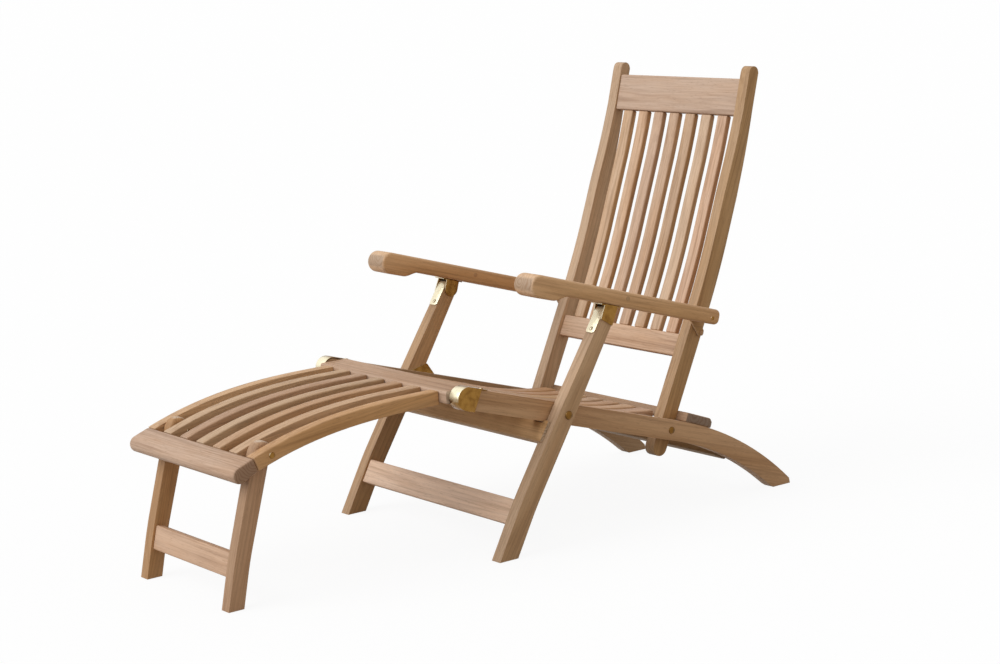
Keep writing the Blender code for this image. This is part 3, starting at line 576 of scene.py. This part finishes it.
# %% Paring and building up
def pare_away(piece, place, outward):
    """Cut off what lies beyond a plane and close the cut."""
    bpy.ops.object.mode_set(mode='EDIT')
    bpy.ops.mesh.select_all(action='SELECT')
    bpy.ops.mesh.bisect(plane_co=place, plane_no=outward, use_fill=True, clear_outer=True)
    bpy.ops.object.mode_set(mode='OBJECT')


def push_out(piece, test, move):
    """Pull the chosen faces out of the piece."""
    pick_faces(piece, test)
    bpy.ops.mesh.extrude_region_move(TRANSFORM_OT_translate={"value": move})
    bpy.ops.object.mode_set(mode='OBJECT')


print("helpers: pare_away, push_out")

# %% [markdown]
# ## Grain of each stick
#
# Every stick is sawn so that the grain runs along it. The direction follows how the stick lies in the
# frame, and the heart of the tree is put a few centimetres to one side of it, a different way for each
# board, so no two sticks show the same lines. The arms are cut close to the heart, which is why their
# scrolled fronts show tight rings.

# %% Grain of each stick
ACROSS, ALONG_RAIL, ALONG_LEG = (1, 0, 0), (0, 0.957, -0.291), (0, 0.545, 0.839)
ALONG_BACK, ALONG_FOOTREST, ALONG_FOOT_LEG = (0, 0.38, 0.925), (0, 0.99, 0.12), (0, 0.29, 0.957)
ARMS = ("arm_left", "arm_right")
GRAIN = {("seat_rail", "seat_slat", "arm_plate", *ARMS): ALONG_RAIL, "front_leg": ALONG_LEG,
         ("back_post", "back_slat"): ALONG_BACK, ("foot_rail", "foot_slat"): ALONG_FOOTREST,
         "foot_leg": ALONG_FOOT_LEG}
HEART_OF_ARM, HEART_OF_STICK = (0.008, 0.014), (0.018, 0.060)


def by_kind(table, name, otherwise):
    """The table's value for the kind, or group of kinds, that a name starts with."""
    return next((value for kind, value in table.items() if name.startswith(kind)), otherwise)


def heart_line(name, grain, dice):
    """A point beside the stick, square to its grain, slid along it by chance."""
    low, high = (Vector(corner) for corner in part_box(name))
    sideways = Vector(grain).normalized().orthogonal().normalized()
    sideways.rotate(Matrix.Rotation(dice.uniform(0, 2 * math.pi), 3, Vector(grain)))
    distance = dice.uniform(*(HEART_OF_ARM if name in ARMS else HEART_OF_STICK))
    return (low + high) / 2 + sideways * distance + Vector(grain) * dice.uniform(-2, 2)


print("grain directions:", len(set(GRAIN.values())) + 1)

# %% [markdown]
# ## Tone of each board
#
# Boards differ, and so does the light on them. A paler colour is painted on faces that look towards the
# front lamp, in blotches like sun bleach, and sticks that lie in shade under the seat get little or none of
# that painted light. Some boards are darker than others, and two sticks under the seat are painted darker
# as shade. These tables say so for each kind of stick: the colour of its ends, the colour painted on its
# lit faces, how much of that painted light it gets, and how light the board is beside the others.

# %% Tone of each board
END_COLOUR = {("foot_leg", "foot_hinge_bar", "leg_stretcher_upper"): PALE_END,
              ("back_stop_rail", *ARMS): GREY_END}
# Painted light: the colour painted on the lamp-facing faces of these kinds.
LIT_COLOURS = {"foot_leg": LIT_BROWN_TEAK, ("front_leg", "back_post", "back_stop_rail", "foot_rail"): LIT_TAN_TEAK}
# Painted light: how much of it each kind gets; sticks in shade under the seat get little or none.
SUN = {"leg_stretcher_upper": 0.15, ("rear_stretcher", "front_batten", "rear_batten"): 0.0, "seat_slat": 0.65,
       "foot_stretcher": 0.85, "foot_board": 1.8, "foot_slat": 0.8, "seat_rail": 0.7}
# How light each board is; the far seat rail and the rear stretcher lie under the seat and are painted darker
# as shade.
TONES_AND_SHADE = {"foot_board": 0.92, "back_lower_rail": 0.93, "leg_stretcher_lower": 1.18, ("foot_rail", *ARMS): 1.26,
        "foot_leg": 1.25, "back_stop_rail": 0.85, "seat_rail_right": 0.75, "rear_stretcher": 0.6}
BRASS_PIECES = ("rail_cap", "leg_bolt", "leg_plate", "back_bolt", "leg_strap", "arm_bracket", "arm_bolt",
                "foot_pin")
sticks = sorted(name for name in body_of if not name.startswith(BRASS_PIECES))
print("sticks to finish:", len(sticks))

# %% [markdown]
# ## Edges that stay square
#
# A tenoned end meets its neighbour face to face, and a rounded end there would open a gap that no joiner
# leaves. So the end edges of slats, rails and stretchers are left alone, and so are the footrest rails'
# ends against the foot board.

# %% Edges that stay square
TENONED = ("back_slat", "foot_slat", "leg_stretcher", "foot_stretcher", "rear_stretcher", "front_batten",
           "rear_batten", "back_top_rail", "back_lower_rail")
RAIL_END, BOARD_BACK = 0.006, 0.010
EASE = {ARMS: 0.0055, "foot_board": 0.0045, "back_top_rail": 0.004, "arm_plate": 0.0012, "seat_slat": 0.005}
USUAL_EASE = 0.0030


def edges_to_leave(name, grain):
    along = Vector(grain).normalized()
    low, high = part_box(name)
    if name.startswith(TENONED):
        return lambda p, d: abs(d.dot(along)) < 0.6 or near_a_bolt(p)
    if name.startswith("foot_rail"):
        return lambda p, d: p.y < low[1] + RAIL_END and abs(d.dot(along)) < 0.9 or near_a_bolt(p)
    if name == "foot_board":
        return lambda p, d: p.y > high[1] - BOARD_BACK and abs(d.x) < 0.5
    return lambda p, d: near_a_bolt(p)


print("tenoned kinds:", len(TENONED))

# %% [markdown]
# ## The upper leg stretcher
#
# This stretcher is lapped on to the fronts of the legs, and it stands a little higher between the seat
# rails than beside them. It could be redrawn, but the measured stick is right apart from that. Its front is
# thickened in two layers, and only the front layer is pulled out over the legs, because the rear one still
# fits between them.

# %% The upper leg stretcher
LEG_UP, LEG_FRONT = Vector(ALONG_LEG), Vector((0, -0.839, 0.545))
BETWEEN_RAILS, BESIDE_RAILS = 0.236, 0.2687
REAR_LAYER, FRONT_LAYER, LEG_HALF_DEPTH = 0.0052, 0.0062, 0.0250
LAP_LENGTH, LAP_RISE, MIDDLE_RISE, BOTTOM_DROP = 0.0145, 0.006, 0.009, 0.0045


def lap_on_legs(piece):
    for layer in (REAR_LAYER, FRONT_LAYER):
        push_out(piece, lambda p, n: n.dot(LEG_FRONT) > 0.9, LEG_FRONT * layer)
    leg_face = (pivot["front_legs_fold"] + LEG_FRONT * LEG_HALF_DEPTH).dot(LEG_FRONT)
    for side in (-1, 1):
        push_out(piece, lambda p, n: n.x * side > 0.9 and p.dot(LEG_FRONT) > leg_face,
                 Vector((side * LAP_LENGTH, 0, 0)))
    pick_faces(piece, lambda p, n: n.dot(LEG_UP) < -0.9)
    bpy.ops.transform.translate(value=LEG_UP * -BOTTOM_DROP)
    for edge in (-BESIDE_RAILS, -BETWEEN_RAILS, BETWEEN_RAILS, BESIDE_RAILS):
        bpy.ops.mesh.select_all(action='SELECT')
        bpy.ops.mesh.bisect(plane_co=(edge, 0, 0), plane_no=(1, 0, 0))
    bpy.ops.object.mode_set(mode='OBJECT')

    def on_lap(p, n):
        return abs(p.x) > BESIDE_RAILS and n.dot(LEG_UP) > 0.9 and p.dot(LEG_FRONT) > leg_face

    push_out(piece, lambda p, n: abs(p.x) < BETWEEN_RAILS and n.dot(LEG_UP) > 0.9, LEG_UP * MIDDLE_RISE)
    push_out(piece, on_lap, LEG_UP * LAP_RISE)


print("stretcher lap:", LAP_LENGTH, "m")

# %% [markdown]
# ## Knobs, post tops and cleats
#
# The footrest's legs end in a low dome above their pin, and the posts in a rounded top. The frame has both
# as flat outlines, so the dome is pressed down to its height and each outline gets a broad round. The cleat
# under an arm's rear end is pared flush with the back of the post, and close under its bolt.

# %% Knobs, post tops and cleats
KNOB_START, KNOB_HEIGHT_SHARE, KNOB_REACH, KNOB_ROUND = 0.0105, 0.66, 0.018, 0.0085
POST_TOP, POST_ROUND = 0.0125, 0.006
POST_REAR, CLEAT_BEHIND, CLEAT_BELOW = Vector((0, 0.900, -0.435)), 0.0060, 0.0064


def flatten_knob(piece):
    pin = pivot["footrest_legs_fold"]
    knob = pin + Vector((0, 0, KNOB_START))

    def on_outline(p, d):
        return p.z > knob.z and abs(d.x) < 0.1 and (p - pin).yz.length > KNOB_REACH

    pick_edges(piece, lambda p, d: p.z > knob.z)
    bpy.ops.transform.resize(value=(1, 1, KNOB_HEIGHT_SHARE), center_override=knob)
    round_edges(piece, on_outline, KNOB_ROUND, steps=5, clamp=False)


def round_post_top(piece, name):
    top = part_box(name)[1][2] - POST_TOP
    round_edges(piece, lambda p, d: p.z > top and abs(d.x) < 0.1, POST_ROUND, steps=4)


def pare_cleat(piece):
    pare_away(piece, arm_bolt_at + POST_REAR * CLEAT_BEHIND, POST_REAR)
    pare_away(piece, arm_bolt_at - Vector((0, 0, CLEAT_BELOW)), Vector((0, 0, -1)))


print("helpers: flatten_knob, round_post_top, pare_cleat")

# %% [markdown]
# ## The wooden sticks
#
# Now the bench work: take each stick, do what is special to it, soften its edges, and oil it. A loop does
# them all alike, so that no stick is forgotten, and each one gets its own board of teak.

# %% The wooden sticks
HEART_SEED, BOARD_SEED = 300, 100
for number, name in enumerate(sticks):
    piece = copy_of(name)
    if name.startswith("foot_leg"):
        flatten_knob(piece)
    if name.startswith("back_post"):
        round_post_top(piece, name)
    if name == "leg_stretcher_upper":
        lap_on_legs(piece)
    if name.startswith("arm_plate"):
        pare_cleat(piece)
    grain = by_kind(GRAIN, name, ACROSS)
    ease_edges(piece, by_kind(EASE, name, USUAL_EASE), leave=edges_to_leave(name, grain))
    heart = heart_line(name, grain, random.Random(HEART_SEED + number))
    board = teak("teak_" + name, grain, heart, BOARD_SEED + number, by_kind(END_COLOUR, name, END_TEAK),
                 by_kind(SUN, name, 1.0), by_kind(TONES_AND_SHADE, name, 1.0), by_kind(LIT_COLOURS, name, LIT_PINK_TEAK))
    stand_for(piece, name, board)
print("wooden sticks:", len(sticks))

# %% [markdown]
# ## Measuring from a pivot
#
# A fitter sets out a strap or a screw from the nearest bolt: so far along the stick, and so far square to
# it. The same two measures, with the slope of the stick, give every place on the chair's side view.

# %% Measuring from a pivot
RAIL_SLOPE, LEG_SLOPE = -16.9, 57.0


def square_to(slope):
    a = math.radians(slope)
    return Vector((0, -math.sin(a), math.cos(a)))


def beside(joint, slope, along, square):
    """A point in the chair's side view, measured from a pivot along a slope and square to it."""
    a = math.radians(slope)
    return pivot[joint] + Vector((0, math.cos(a), math.sin(a))) * along + square_to(slope) * square


strap_end = beside("arm_left_fold", LEG_SLOPE, -0.050, 0.018)
cap_end = beside("footrest_hinge", RAIL_SLOPE, 0.050, 0.0235)
print("strap ends at", [round(v, 3) for v in strap_end], [round(v, 3) for v in cap_end])

# %% [markdown]
# ## Trimming the brass
#
# Each strap is a strip of sheet brass bent round the wood and cut round at its end. The frame's straps end
# square, so their two corners are rounded with a wide bevel. The wear plates between legs and rails have a
# small fin that stands up behind the leg: it is pulled out of the plate's edge and cut to shape. The arm
# bolts end under wooden plugs.

# %% Trimming the brass
NEAR_END, STRAP_ROUND, CAP_ROUND = 0.006, 0.0075, 0.0125
PLATE_HALF, FIN_OUT, FIN_LENGTH = 0.019, Vector((0, 0.532, 0.847)), 0.012
FIN_TOP_AT, FIN_TOP_LOOKS = Vector((0, 0.039, 0.032)), Vector((0, -0.182, 0.983))
FIN_END_AT, FIN_END_LOOKS = Vector((0, 0.041, 0.031)), Vector((0, 0.838, 0.546))
CLEAT_FACE = 0.2411


def round_strap_end(piece, end, slope, radius):
    out = square_to(slope)
    round_edges(piece, lambda p, d: abs(d.dot(out)) > 0.9 and (p - end).yz.length < NEAR_END, radius, steps=6)


def trim_plate(piece, name):
    middle, across_leg = pivot["front_legs_fold"], square_to(LEG_SLOPE)
    pare_away(piece, middle + across_leg * PLATE_HALF, across_leg)
    push_out(piece, lambda p, n: n.dot(FIN_OUT) > 0.98, FIN_OUT * FIN_LENGTH)
    pare_away(piece, middle + FIN_TOP_AT, FIN_TOP_LOOKS)
    pare_away(piece, middle + FIN_END_AT, FIN_END_LOOKS)
    if name.endswith("left"):
        pare_away(piece, middle - across_leg * PLATE_HALF, -across_leg)


def shorten_bolt(piece, name):
    side = 1 if name.endswith("left") else -1
    pare_away(piece, (side * CLEAT_FACE, 0, 0), (side, 0, 0))


print("helpers: round_strap_end, trim_plate, shorten_bolt")

# %% [markdown]
# ## The brass fittings
#
# Sheet brass comes out of the tumbler with a hair's breadth of softness on every edge, and the heavier caps
# with a little more. After the trimming each fitting gets that, and the metal that suits it: bolt heads are
# darker than straps, and the highlight painted on them is dim.

# %% The brass fittings
CAP_EASE, SHEET_EASE = 0.0016, 0.0006
fittings = sorted(name for name in body_of if name.startswith(BRASS_PIECES))
for name in fittings:
    piece = copy_of(name)
    if name.startswith("leg_strap"):
        round_strap_end(piece, strap_end, LEG_SLOPE, STRAP_ROUND)
    if name.startswith("rail_cap"):
        round_strap_end(piece, cap_end, RAIL_SLOPE, CAP_ROUND)
    if name.startswith("leg_plate"):
        trim_plate(piece, name)
    if name.startswith("arm_bolt"):
        shorten_bolt(piece, name)
    ease_edges(piece, CAP_EASE if name.startswith("rail_cap") else SHEET_EASE, steps=2)
    stand_for(piece, name, bolt_brass if "_bolt_" in name else fitting_brass)
print("brass fittings:", len(fittings))

# %% [markdown]
# ## A slotted screw
#
# A screw head is a short disc with a rounded rim and a saw cut across it. It is turned once at the origin,
# pointing up, and copies are then set into their places: that is quicker than turning six, and they come
# out alike.

# %% A slotted screw
DISC_SIDES = 28
SCREW_RADIUS, SCREW_HEIGHT = 0.0042, 0.0012
RIM_SHARE, SLOT_LENGTH_SHARE, SLOT_WIDTH_SHARE, SLOT_DEPTH_SHARE = 0.7, 3, 0.28, 1.1


def disc(name, radius, height, middle):
    bpy.ops.object.select_all(action='DESELECT')
    bpy.ops.mesh.primitive_cylinder_add(vertices=DISC_SIDES, radius=radius, depth=height,
                                        location=(0, 0, middle))
    made = bpy.context.active_object
    made.name = name
    bpy.ops.object.transform_apply(location=True, rotation=True, scale=True)
    return made


def screw_head(name, radius, height):
    head = disc(name, radius, height, height / 2)
    pick_faces(head, lambda p, n: n.z > 0.9)
    bpy.ops.mesh.bevel(offset=height * RIM_SHARE, segments=3, affect='EDGES')
    bpy.ops.object.mode_set(mode='OBJECT')
    bpy.ops.object.select_all(action='DESELECT')
    bpy.ops.mesh.primitive_cube_add(size=1.0, location=(0, 0, height))
    saw = bpy.context.active_object
    saw.scale = (radius * SLOT_LENGTH_SHARE, radius * SLOT_WIDTH_SHARE, height * SLOT_DEPTH_SHARE)
    bpy.ops.object.transform_apply(location=True, rotation=True, scale=True)
    slot = head.modifiers.new("saw_cut", 'BOOLEAN')
    slot.operation = 'DIFFERENCE'
    slot.solver = 'EXACT'
    slot.object = saw
    bpy.context.view_layer.objects.active = head
    bpy.ops.object.modifier_apply(modifier="saw_cut")
    bpy.data.objects.remove(saw, do_unlink=True)
    return head


screw = screw_head("screw_model", SCREW_RADIUS, SCREW_HEIGHT)
print("screw head:", len(screw.data.polygons), "faces")

# %% [markdown]
# ## Setting the screws
#
# The straps are held by slotted brass screws, and one more shows at the rear end of each arm. Each screw
# sits on the face that carries it: on the front of the leg straps, on top of the cap straps, and on the
# outer side of the arms. The slots point where the screwdriver happened to stop.

# %% Setting the screws
SCREW_SMOOTH_TO = math.radians(35)
LEG_MIDDLE, RAIL_MIDDLE, ARM_SIDE, ARM_SCREW_SINK = 0.2855, 0.2530, 0.3035, 0.0002
SIDES = ((1, "left"), (-1, "right"))
STRAP_TURN, CAP_TURN, ARM_TURN = 35, 70, 20


def set_copy(model, name, place, outward, turn=0.0):
    """A copy of a small model with its up side turned outward, its place put into its mesh."""
    bpy.ops.object.select_all(action='DESELECT')
    model.select_set(True)
    bpy.context.view_layer.objects.active = model
    bpy.ops.object.duplicate()
    made = bpy.context.active_object
    made.name = name
    made.data.name = name
    made.rotation_mode = 'QUATERNION'
    spin = Vector((0, 0, 1)).rotation_difference(Vector(outward))
    made.rotation_quaternion = spin @ Matrix.Rotation(math.radians(turn), 3, 'Z').to_quaternion()
    made.location = place
    bpy.ops.object.transform_apply(location=True, rotation=True, scale=True)
    bpy.ops.object.shade_smooth_by_angle(angle=SCREW_SMOOTH_TO)
    return made


screws = []
for side, name in SIDES:
    spot = beside("arm_left_fold", LEG_SLOPE, -0.0405, 0.0197)
    spot.x = side * LEG_MIDDLE
    made = set_copy(screw, "strap_screw_" + name, spot, square_to(LEG_SLOPE), STRAP_TURN)
    screws.append((made, "front_legs"))
    spot = beside("footrest_hinge", RAIL_SLOPE, 0.0405, 0.0244)
    spot.x = side * RAIL_MIDDLE
    made = set_copy(screw, "cap_screw_" + name, spot, square_to(RAIL_SLOPE), CAP_TURN)
    screws.append((made, "seat"))
    spot = beside("arm_left_fold", RAIL_SLOPE, 0.2830, 0.0350)
    spot.x = side * (ARM_SIDE - ARM_SCREW_SINK)
    made = set_copy(screw, "arm_screw_" + name, spot, (side, 0, 0), ARM_TURN)
    screws.append((made, "arm_" + name))
for piece, body in screws:
    piece.data.materials.append(fitting_brass)
    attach(piece, body)
bpy.data.objects.remove(screw, do_unlink=True)
print("screws:", len(screws))

# %% [markdown]
# ## A wooden plug
#
# Deeper screws and the arm bolts are hidden under round plugs of the same wood, pared flush. A plug shows
# because its grain and its tone differ from the stick's, and because a hair of glue line rings it. A thin
# disc with a stepped rim gives that line without drawing it.

# %% A wooden plug
PLUG_RADIUS, PLUG_HEIGHT, PLUG_MIDDLE = 0.0050, 0.0012, -0.0003
PLUG_RIM_SHARE, PLUG_STEP = 0.10, 0.00015


def wood_plug(name, radius):
    plug = disc(name, radius, PLUG_HEIGHT, PLUG_MIDDLE)
    pick_faces(plug, lambda p, n: n.z > 0.9)
    bpy.ops.mesh.inset(thickness=radius * PLUG_RIM_SHARE)
    bpy.ops.transform.translate(value=(0, 0, PLUG_STEP))
    bpy.ops.object.mode_set(mode='OBJECT')
    return plug


plug_model = wood_plug("plug_model", PLUG_RADIUS)
print("plug:", len(plug_model.data.polygons), "faces")

# %% [markdown]
# ## Setting the plugs
#
# Each arm has a plug on either side, over the screw that holds its bracket. Where an arm's bolt goes
# through its post, one plug covers the head and one the tail. The plugs are cut across another board, so
# each gets its own teak, with the heart close by.

# %% Setting the plugs
ARM_WIDTH, POST_INNER_FACE, PLUG_PROUD = 0.0622, 0.2064, 0.0011
PLUG_GRAIN, PLUG_HEART, PLUG_SEED = (0, 0.3, 0.954), Vector((0, 0.03, 0)), 700
plugs = []
for side, name in SIDES:
    for label, face, looks in (("outer_", ARM_SIDE, side), ("inner_", ARM_SIDE - ARM_WIDTH, -side)):
        spot = beside("arm_left_fold", RAIL_SLOPE, 0.040, 0.041)
        spot.x = side * face
        made = set_copy(plug_model, "arm_plug_" + label + name, spot, (looks, 0, 0))
        plugs.append((made, "arm_" + name, spot))
for side, name in SIDES:
    for label, face, looks in (("", CLEAT_FACE + PLUG_PROUD, side), ("inner_", POST_INNER_FACE, -side)):
        spot = Vector((side * face, arm_bolt_at.y, arm_bolt_at.z))
        made = set_copy(plug_model, "arm_bolt_plug_" + label + name, spot, (looks, 0, 0))
        plugs.append((made, "backrest", spot))
for number, (piece, body, spot) in enumerate(plugs):
    wood = teak("teak_plug_%d" % number, PLUG_GRAIN, spot + PLUG_HEART, PLUG_SEED + number)
    piece.data.materials.append(wood)
    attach(piece, body)
bpy.data.objects.remove(plug_model, do_unlink=True)
print("plugs:", len(plugs))
